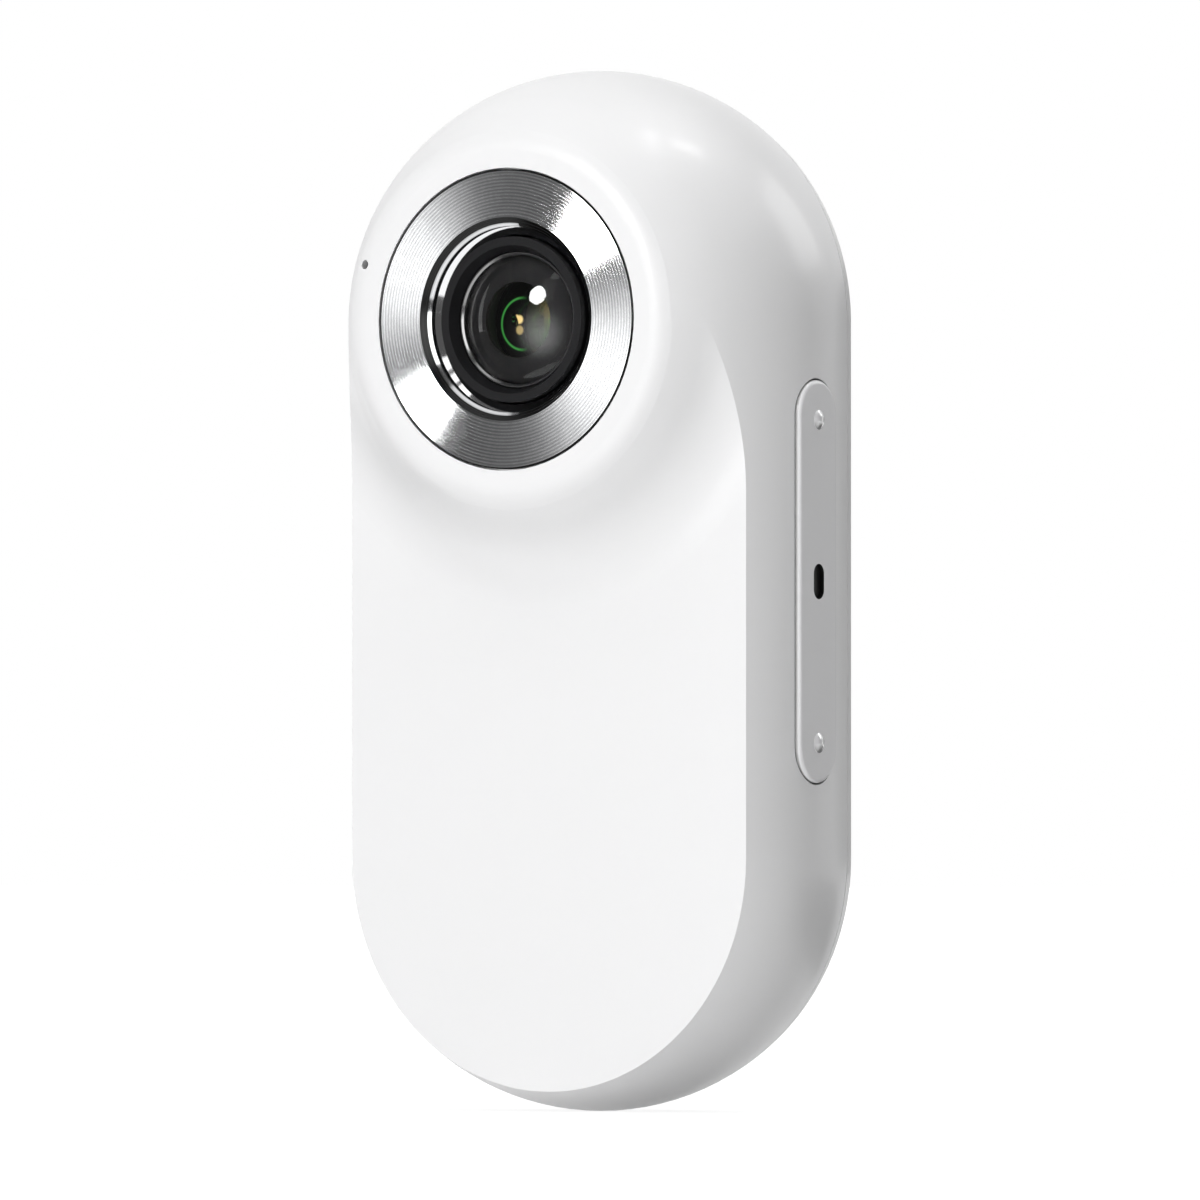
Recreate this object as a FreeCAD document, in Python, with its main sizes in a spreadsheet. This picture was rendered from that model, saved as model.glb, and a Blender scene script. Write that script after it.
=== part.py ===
import FreeCAD, Part
import Sketcher

import os
import re
from math import atan2, pi

# Pet collar camera: a capsule-shaped housing with a flat front and a round head that swells out to the lens
# ring, a rocker on its right side, and a memory card and a charging socket on its left side.
# X is to the right, Y to the back, Z up. The origin is the centre of the flat back face.

os.makedirs("parts", exist_ok=True)
doc = FreeCAD.newDocument("PetCollarCamera")
sheet = doc.addObject("Spreadsheet::Sheet", "Size")

# Driving dimensions, in millimetres unless the name says otherwise.
sizes = {
    # Housing
    "body_width": 35.0,
    "body_height": 72.0,
    "axis_to_back": 7.6,
    "axis_to_front": 6.9,
    "lip_share": 0.70114,
    "lip_round": 2.0,
    "blend_radius": 6.5,
    "back_edge_round": 1.5,
    "shell_wall": 1.4,
    "seam_offset": 0.005,
    "pinhole_width": 0.65,
    "pinhole_margin": 0.64,
    "pinhole_angle": 18.8,
    # Back cover
    "cover_depth": 2.2,
    "cover_floor": 1.4,
    "tongue_height": 1.2,
    "tongue_wall": 0.85,
    "tongue_gap": 0.1,
    "parting_line": 0.15,
    "parting_sink": 0.2,
    "seal_width": 0.6,
    "seal_depth": 0.5,
    "magnet_width": 10.0,
    "magnet_depth": 1.5,
    "magnet_sink": 0.6,
    "magnet_inset": 2.5,
    "fit_gap": 0.05,
    # Lens ring and bezel
    "lip_land": 1.316,
    "ring_face_width": 3.3,
    "ring_bevel_width": 0.6,
    "ring_thickness": 1.0,
    "ring_bevel_depth": 0.55,
    "ring_edge_chamfer": 0.08,
    "ring_gap": 0.1,
    "tape_thickness": 0.1,
    "tape_margin": 0.25,
    "shelf_thickness": 1.2,
    "bezel_wall": 0.65,
    "bezel_depth": 2.5,
    "bezel_cone_depth": 0.35,
    "bezel_bore_gap": 0.15,
    "bezel_flange": 0.95,
    "bezel_flange_thickness": 0.6,
    # Lens
    "bezel_clearance": 0.7,
    "barrel_rim": 0.6,
    "barrel_sink": 0.7,
    "barrel_cone_depth": 0.8,
    "barrel_shoulder": 7.1,
    "thread_step": 0.6,
    "barrel_lift": 1.87,
    "retainer_step": 1.0,
    "retainer_sink": 1.5,
    "retainer_thickness": 0.45,
    "retainer_width": 0.25,
    "retainer_cone": 0.12,
    "retainer_chamfer": 0.06,
    "glass_step": 1.5,
    "front_glass_curve": 9.5,
    "front_glass_edge": 0.45,
    "front_glass_hollow": 1.0,
    "spacer_wall": 0.8,
    "spacer_rim": 0.55,
    "front_spacer": 1.9,
    "stop_width": 1.9,
    "stop_gap": 0.06,
    "stop_thickness": 0.35,
    "middle_glass_edge": 1.4,
    "rear_spacer": 2.0,
    "rear_glass_edge": 1.9,
    "glass_swell": 0.45,
    "glass_hollow": 0.3,
    "thread_gap": 0.02,
    # Lens holder, sensor and sensor board
    "holder_inset": 0.5,
    "holder_base": 2.0,
    "holder_wall": 1.6,
    "holder_top": 7.5,
    "holder_window": 3.2,
    "holder_cavity_width": 10.0,
    "holder_cavity_depth": 1.27,
    "sensor_board_gap": 0.45,
    "sensor_board_thickness": 0.8,
    "sensor_width": 8.4,
    "sensor_thickness": 0.9,
    "filter_width": 7.6,
    "filter_thickness": 0.3,
    "connector_width": 9.0,
    "connector_height": 2.6,
    "connector_depth": 1.2,
    "connector_drop": 4.0,
    # Main board and what is on it
    "board_front": 4.4,
    "board_thickness": 1.0,
    "board_margin": 4.5,
    "chip_width": 9.0,
    "chip_across": 4.6,
    "chip_thickness": 1.2,
    "memory_width": 8.0,
    "memory_drop": 0.3,
    "memory_thickness": 0.9,
    "shield_width": 8.4,
    "shield_across": 5.0,
    "shield_drop": 2.3,
    "shield_height": 7.5,
    "shield_depth": 1.4,
    "antenna_width": 7.0,
    "antenna_height": 2.0,
    "antenna_depth": 1.0,
    "antenna_inset": 2.1,
    # Screws into the housing's bosses
    "boss_radius": 1.4,
    "pilot_radius": 0.65,
    "screw_radius": 0.6,
    "screw_clearance": 0.2,
    "screw_head_radius": 1.1,
    "screw_head_height": 0.6,
    "screw_length": 5.0,
    "boss_inset": 1.3,
    "upper_boss_angle": 36.95,
    "lower_boss_angle": 57.7,
    # Battery
    "battery_side": 6.1,
    "battery_drop": 16.5,
    "battery_foot": 0.49,
    "battery_thickness": 4.9,
    "battery_edge_round": 1.6,
    "battery_tape_thickness": 0.3,
    "battery_tape_inset": 2.4,
    "battery_board_inset": 1.4,
    "battery_board_height": 3.0,
    "battery_board_thickness": 1.2,
    "battery_strap_width": 5.0,
    "battery_strap_thickness": 0.2,
    "battery_socket_depth": 1.2,
    "battery_socket_width": 6.5,
    "battery_socket_across": 6.0,
    # Charging socket
    "usb_width": 8.94,
    "usb_thickness": 3.2,
    "usb_length": 7.35,
    "usb_wall": 0.3,
    "usb_sink": 0.6,
    "usb_spacing": 3.13,
    "usb_gap": 0.18,
    "usb_tongue_width": 6.7,
    "usb_tongue_thickness": 0.7,
    "usb_tongue_length": 4.5,
    "usb_back_wall": 1.8,
    # Memory card
    "card_length": 15.0,
    "card_width": 11.0,
    "card_thickness": 0.7,
    "card_sink": 0.5,
    "card_socket_gap": 0.3,
    "card_lift": 0.45,
    "card_gap": 0.15,
    "card_corner": 0.6,
    "card_step": 1.3,
    "card_step_length": 6.4,
    "card_slope": 0.7,
    "card_socket_length": 12.6,
    "card_socket_width": 12.6,
    "card_socket_depth": 1.6,
    "card_socket_sink": 4.3,
    # Microphone
    "boot_radius": 1.0,
    "boot_bore": 0.3,
    "boot_length": 1.2,
    "mouth_radius": 1.6,
    "mouth_back": 3.47,
    "microphone_width": 2.6,
    "microphone_height": 1.8,
    "microphone_depth": 0.9,
    "strap_width": 1.8,
    "strap_thickness": 0.15,
    # Rocker on the right side
    "rocker_up": 0.5,
    "rocker_length": 27.7,
    "rocker_width": 4.9,
    "rocker_proud": 0.2,
    "rocker_skin": 1.3,
    "rocker_gap": 0.12,
    "rocker_edge_round": 0.3,
    "rocker_side_wall": 0.9,
    "dot_inset": 2.75,
    "dot_radius": 0.7,
    "dot_height": 0.25,
    "post_radius": 1.2,
    "slot_length": 2.44,
    "slot_width": 1.36,
    "window_sink": 0.3,
    "flange_step": 0.5,
    "flange_thickness": 0.7,
    "flange_depth": 2.9,
    "chamber_depth": 1.6,
    "chamber_gap": 0.25,
    "collar_wall": 0.75,
    "collar_depth": 3.2,
    "hub_height": 2.6,
    "hub_gap": 0.05,
    "pin_radius": 0.5,
    "pin_clearance": 0.04,
    "pin_depth": 2.55,
    "pin_seat": 0.6,
    "pin_seat_gap": 0.01,
    "seal_sheet": 0.4,
    "seal_margin": 0.3,
    "seal_nub_radius": 0.9,
    "bracket_thickness": 0.8,
    "bracket_side": 0.3,
    "bracket_end": 1.8,
    "bracket_window_inset": 0.15,
    "button_board_thickness": 0.8,
    "dome_radius": 2.0,
    "dome_height": 0.35,
    "dome_sheet": 0.12,
    "dome_rim": 0.15,
    "light_width": 1.6,
    "light_depth": 0.6,
    "ear_gap": 1.8,
    "button_screw_length": 3.0,
}
for row, (name, size) in enumerate(sizes.items(), start=1):
    sheet.set(f"A{row}", name)
    sheet.set(f"B{row}", str(size))
    sheet.setAlias(f"B{row}", name)
doc.recompute()

# Dimensions worked out from the driving ones, as the text of expressions.
capsule = "(body_width / 2)"
rise = "((body_height - body_width) / 2)"
lip = f"(lip_share * {capsule})"
ring_plane = f"(axis_to_back + {lip})"
shell_front = "(axis_to_back + axis_to_front - shell_wall)"
board_back = "(board_front - board_thickness)"
sensor_board_back = "(board_front + connector_depth)"
sensor_board_front = f"({sensor_board_back} + sensor_board_thickness)"
shelf_front = "(ring_thickness + tape_thickness)"
shelf_back = f"({shelf_front} + shelf_thickness)"
head_inner = f"({lip} - {shelf_back})"
lip_flat = f"sqrt(({capsule} + seam_offset - lip_round) ^ 2 - ({lip} - lip_round) ^ 2)"
ring_radius = f"({lip_flat} - lip_land)"
ring_face_inner = f"({ring_radius} - ring_face_width)"
ring_bore = f"({ring_face_inner} - ring_bevel_width)"
barrel_radius = f"({ring_bore} - bezel_clearance)"
barrel_end = f"({ring_plane} - {sensor_board_front} - barrel_lift)"
thread_radius = f"({barrel_radius} - thread_step)"
retainer_radius = f"({barrel_radius} - retainer_step)"
retainer_bore = f"({retainer_radius} - retainer_width)"
glass_radius = f"({barrel_radius} - glass_step)"
pinhole_reach = f"({lip_flat} + pinhole_margin)"
board_radius = f"({capsule} - board_margin)"
boss_reach = f"({board_radius} - boss_inset)"
sensor_board_width = f"(2 * ({boss_reach} * cos(upper_boss_angle) - boss_radius - sensor_board_gap))"
holder_width = f"({sensor_board_width} - 2 * holder_inset)"
card_up = f"({rise} - {sensor_board_width} / 2 - card_socket_gap - card_socket_width / 2)"
card_edge = f"({capsule} - card_sink)"
card_socket_mouth = f"({capsule} - card_socket_sink)"
usb_down = f"(card_socket_width / 2 + usb_spacing + usb_width / 2 - {card_up})"
usb_mouth = f"({capsule} - usb_sink)"
battery_width = f"(2 * ({capsule} - battery_side))"
battery_top = f"({rise} - battery_drop)"
battery_bottom = f"(boss_radius + battery_foot - {rise} - {boss_reach} * sin(lower_boss_angle))"
battery_height = f"({battery_top} - {battery_bottom})"
memory_down = f"({rise} + memory_drop)"
rocker_face = f"({capsule} + rocker_proud)"
collar_face = f"({capsule} - collar_depth)"
flange_inner = f"({capsule} - flange_depth)"
pin_place = f"({capsule} - pin_depth)"
dot_offset = "(rocker_length / 2 - dot_inset)"
chamber_length = "(rocker_length + 2 * flange_step + 2 * chamber_gap)"
chamber_width = "(rocker_width + 2 * flange_step + 2 * chamber_gap)"
button_screw_offset = f"({chamber_length} / 2 + ear_gap)"
bracket_length = f"(2 * ({button_screw_offset} + bracket_end))"


def bound(text):
    """An expression in plain names, with each driving dimension read from the sheet."""
    return re.sub(r"[a-z][a-z_]+", lambda word: f"Size.{word[0]}" if word[0] in sizes else word[0], text)


def number(text):
    """The present value of an expression."""
    return float(sheet.evalExpression(bound(text)))


# Two places closer than this are the same place.
touching = 1e-4


def placed(item, x="0", y="0", z="0"):
    """Bind an object's position."""
    for axis, place in (("x", x), ("y", y), ("z", z)):
        if place != "0":
            item.setExpression(f"Placement.Base.{axis}", bound(place))


def new_body(label, x="0", y="0", z="0"):
    """An empty body with a label and a bound position."""
    body = doc.addObject("PartDesign::Body", label)
    body.Label = label
    placed(body, x, y, z)
    return body


def box_outline(width, height, across="0", up="0"):
    """The corners of a rectangle about a centre."""
    left = f"{across} - ({width}) / 2"
    right = f"{across} + ({width}) / 2"
    low = f"{up} - ({height}) / 2"
    high = f"{up} + ({height}) / 2"
    return [(left, low), (right, low), (right, high), (left, high)]


def stadium_outline(length, width, across="0", up="0"):
    """A stadium that stands along the sketch's second axis: two straight sides and four quarter arcs."""
    radius = f"({width}) / 2"
    straight = f"(({length}) - ({width})) / 2"
    left = f"{across} - {radius}"
    right = f"{across} + {radius}"
    low = f"{up} - {straight}"
    high = f"{up} + {straight}"
    return [
        (right, low),
        (right, high),
        (across, f"{high} + {radius}", radius, "left"),
        (left, high, radius, "left"),
        (left, low),
        (across, f"{low} - {radius}", radius, "left"),
        (right, low, radius, "left"),
    ]


def soft_box_outline(width, height, corner, across="0", up="0"):
    """A rectangle with quarter arcs at its corners."""
    left = f"{across} - ({width}) / 2"
    right = f"{across} + ({width}) / 2"
    low = f"{up} - ({height}) / 2"
    high = f"{up} + ({height}) / 2"
    return [
        (f"{left} + {corner}", low),
        (f"{right} - {corner}", low),
        (right, f"{low} + {corner}", corner, "left"),
        (right, f"{high} - {corner}"),
        (f"{right} - {corner}", high, corner, "left"),
        (f"{left} + {corner}", high),
        (left, f"{high} - {corner}", corner, "left"),
        (left, f"{low} + {corner}"),
        (f"{left} + {corner}", low, corner, "left"),
    ]


def circle(radius, across="0", up="0"):
    """A circle, told from an outline by its first word."""
    return ("circle", across, up, radius)


def bind_point(sketch, edge, end, point):
    """Fix one vertex of a sketch by its two coordinates."""
    for kind, text in zip(("DistanceX", "DistanceY"), point):
        index = sketch.addConstraint(Sketcher.Constraint(kind, -1, 1, edge, end, number(text)))
        sketch.setExpression(f"Constraints[{index}]", bound(text))


def add_outline(sketch, steps):
    """Draw a closed outline. A step is the end of a line, or of an arc when it has a radius and a turn."""
    corners = [tuple(number(text) for text in step[:2]) for step in steps]
    closed = corners[0] == corners[-1]
    count = len(steps) - 1 if closed else len(steps)
    first = sketch.GeometryCount
    ends = []
    for place in range(count):
        step = steps[(place + 1) % len(steps)]
        start = FreeCAD.Vector(*corners[place], 0)
        stop = FreeCAD.Vector(*corners[(place + 1) % len(steps)], 0)
        if len(step) == 2:
            sketch.addGeometry(Part.LineSegment(start, stop), False)
            ends.append((1, 2))
            continue
        radius = number(step[2])
        side = 1 if step[3] == "left" else -1
        chord = stop - start
        drop = (max(radius ** 2 - (chord.Length / 2) ** 2, 0)) ** 0.5
        normal = FreeCAD.Vector(-chord.y, chord.x, 0).normalize()
        centre = (start + stop) / 2 + normal * drop * side
        begin, finish = (start, stop) if side > 0 else (stop, start)
        angles = [atan2(end.y - centre.y, end.x - centre.x) for end in (begin, finish)]
        if angles[1] < angles[0]:
            angles[1] += 2 * pi
        ring = Part.Circle(centre, FreeCAD.Vector(0, 0, 1), radius)
        sketch.addGeometry(Part.ArcOfCircle(ring, *angles), False)
        ends.append((1, 2) if side > 0 else (2, 1))
    for place in range(count):
        after = (place + 1) % count
        sketch.addConstraint(Sketcher.Constraint(
            "Coincident", first + place, ends[place][1], first + after, ends[after][0]))
        bind_point(sketch, first + place, ends[place][0], steps[place][:2])
        step = steps[(place + 1) % len(steps)]
        if len(step) > 2:
            index = sketch.addConstraint(Sketcher.Constraint("Radius", first + place, number(step[2])))
            sketch.setExpression(f"Constraints[{index}]", bound(step[2]))


def add_circle(sketch, shape):
    """Draw a circle with a bound centre and radius."""
    _, across, up, radius = shape
    centre = FreeCAD.Vector(number(across), number(up), 0)
    edge = sketch.addGeometry(Part.Circle(centre, FreeCAD.Vector(0, 0, 1), number(radius)), False)
    bind_point(sketch, edge, 3, (across, up))
    index = sketch.addConstraint(Sketcher.Constraint("Radius", edge, number(radius)))
    sketch.setExpression(f"Constraints[{index}]", bound(radius))


def drawn(body, plane, shapes, lift="0", across="0", up="0"):
    """A sketch on one of the body's own planes, moved along it and off it by bound amounts."""
    sketch = body.newObject("Sketcher::SketchObject", f"{body.Label}_sketch")
    sketch.AttachmentSupport = (next(face for face in body.Origin.OriginFeatures if face.Role == plane), [""])
    sketch.MapMode = "FlatFace"
    for axis, place in (("x", across), ("y", up), ("z", lift)):
        if place != "0":
            sketch.setExpression(f"AttachmentOffset.Base.{axis}", bound(place))
    for shape in shapes:
        if shape[0] == "circle":
            add_circle(sketch, shape)
        else:
            add_outline(sketch, shape)
    return sketch


def turned(body, kind, steps, axis="H_Axis", up="0", plane="YZ_Plane"):
    """Revolve an outline about an axis of its sketch, adding or cutting."""
    sketch = drawn(body, plane, [steps], up=up)
    feature = body.newObject(f"PartDesign::{kind}", f"{body.Label}_{kind}")
    feature.Profile = sketch
    feature.ReferenceAxis = (sketch, [axis])
    feature.Angle = 360
    body.Tip = feature
    return feature


def pushed(body, kind, plane, shapes, length, lift="0"):
    """Extrude outlines along their plane's normal, adding with Pad or cutting with Pocket."""
    feature = body.newObject(f"PartDesign::{kind}", f"{body.Label}_{kind}")
    feature.Profile = drawn(body, plane, shapes, lift)
    feature.setExpression("Length", bound(length))
    feature.Reversed = kind == "Pocket"
    body.Tip = feature
    return feature


def rounded(body, radius, chosen, limit=None):
    """Fillet the edges of a body's last feature that the test picks."""
    base = body.Tip
    names = [f"Edge{place}" for place, edge in enumerate(base.Shape.Edges, start=1) if chosen(edge)]
    fillet = body.newObject("PartDesign::Fillet", f"{body.Label}_rounding")
    fillet.Base = (base, names[:limit])
    fillet.setExpression("Radius", bound(radius))
    body.Tip = fillet
    return fillet


def plate(label, plane, shapes, length, lift="0", x="0", y="0", z="0"):
    """A body that is one extruded sketch."""
    body = new_body(label, x, y, z)
    pushed(body, "Pad", plane, shapes, length, lift)
    return body


def lens_part(label, steps):
    """A body of revolution about the lens axis. Depth is counted back from the ring's face."""
    body = new_body(label, y=f"-{ring_plane}", z=rise)
    turned(body, "Revolution", steps)
    return body


def tube_steps(front, back, inner, outer):
    """The section of a plain tube."""
    return [(front, inner), (back, inner), (back, outer), (front, outer)]


def join(label, kind, *members):
    """A boolean of whole objects: the first is cut by, fused with or limited by the rest."""
    result = doc.addObject(f"Part::{kind}", label)
    result.Label = label
    if kind in ("Cut", "Common"):
        result.Base, result.Tool = members
    else:
        result.Shapes = list(members)
    return result


# The housing's outer form: a capsule, its front cut to the flat face, the concave blend and the round head,
# by one profile turned about the lens axis.


def capsule_body(label, inset, face_inset, lip_reach, lip_bend):
    """The capsule less everything in front of the head's profile, all drawn in from outside by inset."""
    radius = f"({capsule} - {inset})"
    body = new_body(label, y="-axis_to_back")
    turned(body, "Revolution", [
        ("0", f"-{rise} - {radius}"),
        (radius, f"-{rise}", radius, "left"),
        (radius, rise),
        ("0", f"{rise} + {radius}", radius, "left"),
    ], axis="V_Axis")
    # The head's sphere stands a hair outside the capsule, so that the two cross cleanly.
    head = f"({radius} + seam_offset)"
    bend = f"(blend_radius + {inset})"
    centre_rise = "(axis_to_front + blend_radius)"
    reach = f"({capsule} + seam_offset + blend_radius)"
    centre_out = f"sqrt({reach} ^ 2 - {centre_rise} ^ 2)"
    steps = [(f"-{lip_reach}", "0")]
    if lip_bend:
        edge = f"sqrt(({head} - {lip_bend}) ^ 2 - ({lip_reach} - {lip_bend}) ^ 2)"
        share = f"{head} / ({head} - {lip_bend})"
        steps += [
            (f"-{lip_reach}", edge),
            (f"-({lip_reach} - {lip_bend}) * {share}", f"{edge} * {share}", lip_bend, "right"),
        ]
    else:
        steps += [(f"-{lip_reach}", f"sqrt({head} ^ 2 - {lip_reach} ^ 2)")]
    steps += [
        (f"-{centre_rise} * {head} / {reach}", f"{centre_out} * {head} / {reach}", head, "right"),
        (f"-(axis_to_front - {face_inset})", centre_out, bend, "left"),
        (f"-(axis_to_front - {face_inset})", "body_height * 2"),
        ("-body_width * 2", "body_height * 2"),
        ("-body_width * 2", "0"),
    ]
    turned(body, "Groove", steps, up=rise)
    return body


outer_form = capsule_body("outer_form", "0", "0", lip, "lip_round")
pushed(outer_form, "Pocket", "XZ_Plane", [box_outline("body_height * 2", "body_height * 2")],
       "body_width", lift="-axis_to_back")
outer_form.Tip.Reversed = False
doc.recompute()
# The back edge is one smooth loop, so the rounding follows it from any one of its edges.
rounded(outer_form, "back_edge_round", lambda edge: edge.BoundBox.YMin > number("axis_to_back") - touching, 1)
cavity_form = capsule_body("cavity_form", "shell_wall", "shell_wall", head_inner, None)


def slab(label, low, high):
    """A block as wide and tall as needed between two depths, both counted forward from the back face."""
    return plate(label, "XZ_Plane", [box_outline("body_height * 2", "body_height * 2")],
                 f"{high} - {low}", lift=low)


# Front shell: the form in front of the parting, less a room that leaves the bosses and the rocker's collar.

front_form = join("front_form", "Common", outer_form, slab("front_slab", "cover_depth", "body_width"))
cavity = join("cavity", "Common", cavity_form, slab("cavity_slab", "0", "body_width"))

boss_places = [
    (f"{side}{boss_reach} * cos({angle})", f"{end}({rise} + {boss_reach} * sin({angle}))")
    for end, angle in (("", "upper_boss_angle"), ("-", "lower_boss_angle")) for side in ("", "-")
]
bosses = plate("bosses", "XZ_Plane", [circle("boss_radius", *place) for place in boss_places],
               "body_width", lift="board_front")
pinhole_place = (f"-{pinhole_reach} * cos(pinhole_angle)", f"({rise} + {pinhole_reach} * sin(pinhole_angle))")
mouth_depth = f"({ring_plane} - mouth_back)"
mouth = plate("mouth", "XZ_Plane", [circle("mouth_radius", *pinhole_place)], "body_width", lift=mouth_depth)
rocker_ends = [button_screw_offset, f"-{button_screw_offset}"]


def side_plate(label, shapes, low, length):
    """A body pushed out to the right from a distance to the right of the middle, centred on the rocker."""
    return plate(label, "YZ_Plane", shapes, length, lift=low, y="-axis_to_back", z="rocker_up")


collar = side_plate("collar", [stadium_outline(
    f"{chamber_length} + 2 * collar_wall", f"{chamber_width} + 2 * collar_wall")], collar_face, "body_width")
ears = side_plate("ears", [circle("boss_radius", up=place) for place in rocker_ends],
                  f"{collar_face} - seal_sheet", "body_width")
rib_forms = join("rib_forms", "MultiFuse", bosses, mouth, collar, ears)
shell_blank = join("shell_blank", "Cut", front_form, join("room", "Cut", cavity, rib_forms))

parting_reach = "(axis_to_back - cover_depth)"
parting_outer = f"sqrt({capsule} ^ 2 - {parting_reach} ^ 2)"
parting_inner = f"sqrt(({capsule} - shell_wall) ^ 2 - {parting_reach} ^ 2)"
seal_middle = f"(({parting_outer} + {parting_inner}) / 2)"


def loop_outline(radius):
    """A stadium about the housing's middle, of a given end radius."""
    return stadium_outline(f"body_height - body_width + 2 * {radius}", f"2 * {radius}")


seal_groove = plate("seal_groove", "XZ_Plane", [
    loop_outline(f"({seal_middle} + seal_width / 2 + fit_gap)"),
    loop_outline(f"({seal_middle} - seal_width / 2 - fit_gap)"),
], "seal_depth + fit_gap", lift="cover_depth - fit_gap")
lens_openings = lens_part("lens_openings", [
    ("-ring_thickness", "0"),
    ("-ring_thickness", f"{ring_radius} + ring_gap"),
    (shelf_front, f"{ring_radius} + ring_gap"),
    (shelf_front, f"{ring_bore} + bezel_wall + fit_gap"),
    (f"{shelf_back} + fit_gap", f"{ring_bore} + bezel_wall + fit_gap"),
    (f"{shelf_back} + fit_gap", "0"),
])
pilots = plate("pilots", "XZ_Plane", [circle("pilot_radius", *place) for place in boss_places],
               "screw_length - board_thickness + fit_gap", lift="board_front")
ear_pilots = side_plate("ear_pilots", [circle("pilot_radius", up=place) for place in rocker_ends],
                        f"{collar_face} - seal_sheet",
                        "button_screw_length - button_board_thickness - bracket_thickness + fit_gap")
rocker_opening = side_plate("rocker_opening", [stadium_outline(
    "rocker_length + 2 * rocker_gap", "rocker_width + 2 * rocker_gap")], collar_face, "body_width")
chamber = side_plate("chamber", [stadium_outline(chamber_length, chamber_width)],
                     collar_face, "collar_depth - chamber_depth")
pin_length = f"({chamber_width} + 2 * pin_seat)"
pin_seats = plate("pin_seats", "XZ_Plane", [circle("pin_radius + pin_seat_gap", pin_place, "rocker_up")],
                  f"{pin_length} + 2 * fit_gap", lift=f"axis_to_back - {pin_length} / 2 - fit_gap")
usb_depth = "(board_front + usb_thickness / 2)"
left_wall = f"(body_width - {capsule} + 2 * shell_wall)"
usb_opening = plate("usb_opening", "YZ_Plane", [stadium_outline(
    "usb_width + 2 * usb_gap", "usb_thickness + 2 * usb_gap", f"-{usb_depth}", f"-{usb_down}")],
    left_wall, lift="-body_width")
card_depth = "(board_front + card_lift + card_thickness / 2)"
card_slot = box_outline(
    "card_thickness + 2 * card_gap", "card_width + 2 * card_gap", f"-{card_depth}", card_up)
card_opening = plate("card_opening", "YZ_Plane", [card_slot], left_wall, lift="-body_width")
pinhole = plate("pinhole", "XZ_Plane", [circle("pinhole_width / 2", *pinhole_place)],
                "body_width", lift=f"{mouth_depth} - fit_gap")


def cut_in_turn(label, blank, *tools):
    """Cut several tools out of a blank, one after another. The last result takes the label."""
    for place, tool in enumerate(tools, start=1):
        blank = join(label if place == len(tools) else f"{label}_blank_{place}", "Cut", blank, tool)
    return blank


front_shell = cut_in_turn("front_shell", shell_blank, lens_openings, rocker_opening, chamber, pin_seats,
                          seal_groove, pilots, ear_pilots, usb_opening, card_opening, pinhole)

# Back cover: the slice of the same form behind the parting, with a tongue that slips inside the front shell.

tongue_outer = f"({parting_inner} - tongue_gap)"
cover_form = join("cover_form", "Common", outer_form, slab("cover_slab", "-body_width", "cover_depth"))
tongue = plate("tongue", "XZ_Plane", [loop_outline(tongue_outer)],
               "cover_depth - cover_floor + tongue_height", lift="cover_floor")
tray = plate("tray", "XZ_Plane", [loop_outline(f"({tongue_outer} - tongue_wall)")],
             "body_width", lift="cover_floor")
magnet_places = [("0", f"{side}({rise} - magnet_inset)") for side in ("", "-")]
magnet_seats = plate("magnet_seats", "XZ_Plane",
                     [circle("magnet_width / 2 + fit_gap", *place) for place in magnet_places],
                     "body_width", lift="cover_floor - magnet_sink")
# The cover's rim is stepped back a little all round, which shows outside as the parting line.
parting_step = plate("parting_step", "XZ_Plane", [
    loop_outline(f"({parting_outer} + shell_wall)"),
    loop_outline(f"({parting_outer} - parting_sink)"),
], "parting_line + fit_gap", lift="cover_depth - parting_line")
cover_blank = join("cover_blank", "MultiFuse", cover_form, tongue)
back_cover = cut_in_turn("back_cover", cover_blank, tray, magnet_seats, parting_step)
cover_seal = plate("cover_seal", "XZ_Plane", [
    loop_outline(f"({seal_middle} + seal_width / 2)"),
    loop_outline(f"({seal_middle} - seal_width / 2)"),
], "seal_depth", lift="cover_depth")
back_magnets = plate("back_magnets", "XZ_Plane",
                     [circle("magnet_width / 2", *place) for place in magnet_places],
                     "magnet_depth", lift="cover_floor - magnet_sink")

# Lens ring, its tape and the bright bezel tube that is held behind the shell's shelf by its flange.

lens_trim_ring = lens_part("lens_trim_ring", [
    ("0", f"{ring_radius} - ring_edge_chamfer"),
    ("0", ring_face_inner),
    ("ring_bevel_depth", ring_bore),
    ("ring_thickness", ring_bore),
    ("ring_thickness", ring_radius),
    ("ring_edge_chamfer", ring_radius),
])
bezel_outer = f"({ring_bore} + bezel_wall)"
ring_tape = lens_part("ring_tape", tube_steps(
    "ring_thickness", shelf_front, f"{bezel_outer} + tape_margin", f"{ring_radius} - tape_margin"))
bezel_end = "(ring_thickness + bezel_depth)"
lens_bezel = lens_part("lens_bezel", [
    ("ring_thickness", ring_bore),
    ("ring_thickness + bezel_cone_depth", f"{barrel_radius} + bezel_bore_gap"),
    (bezel_end, f"{barrel_radius} + bezel_bore_gap"),
    (bezel_end, bezel_outer),
    (f"{shelf_back} + bezel_flange_thickness", bezel_outer),
    (f"{shelf_back} + bezel_flange_thickness", f"{bezel_outer} + bezel_flange"),
    (shelf_back, f"{bezel_outer} + bezel_flange"),
    (shelf_back, bezel_outer),
    ("ring_thickness", bezel_outer),
])

# Lens: a threaded barrel with a domed front glass under a thin retainer, a spacer whose front is the stop
# round the pupil, and two more glasses.

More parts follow.
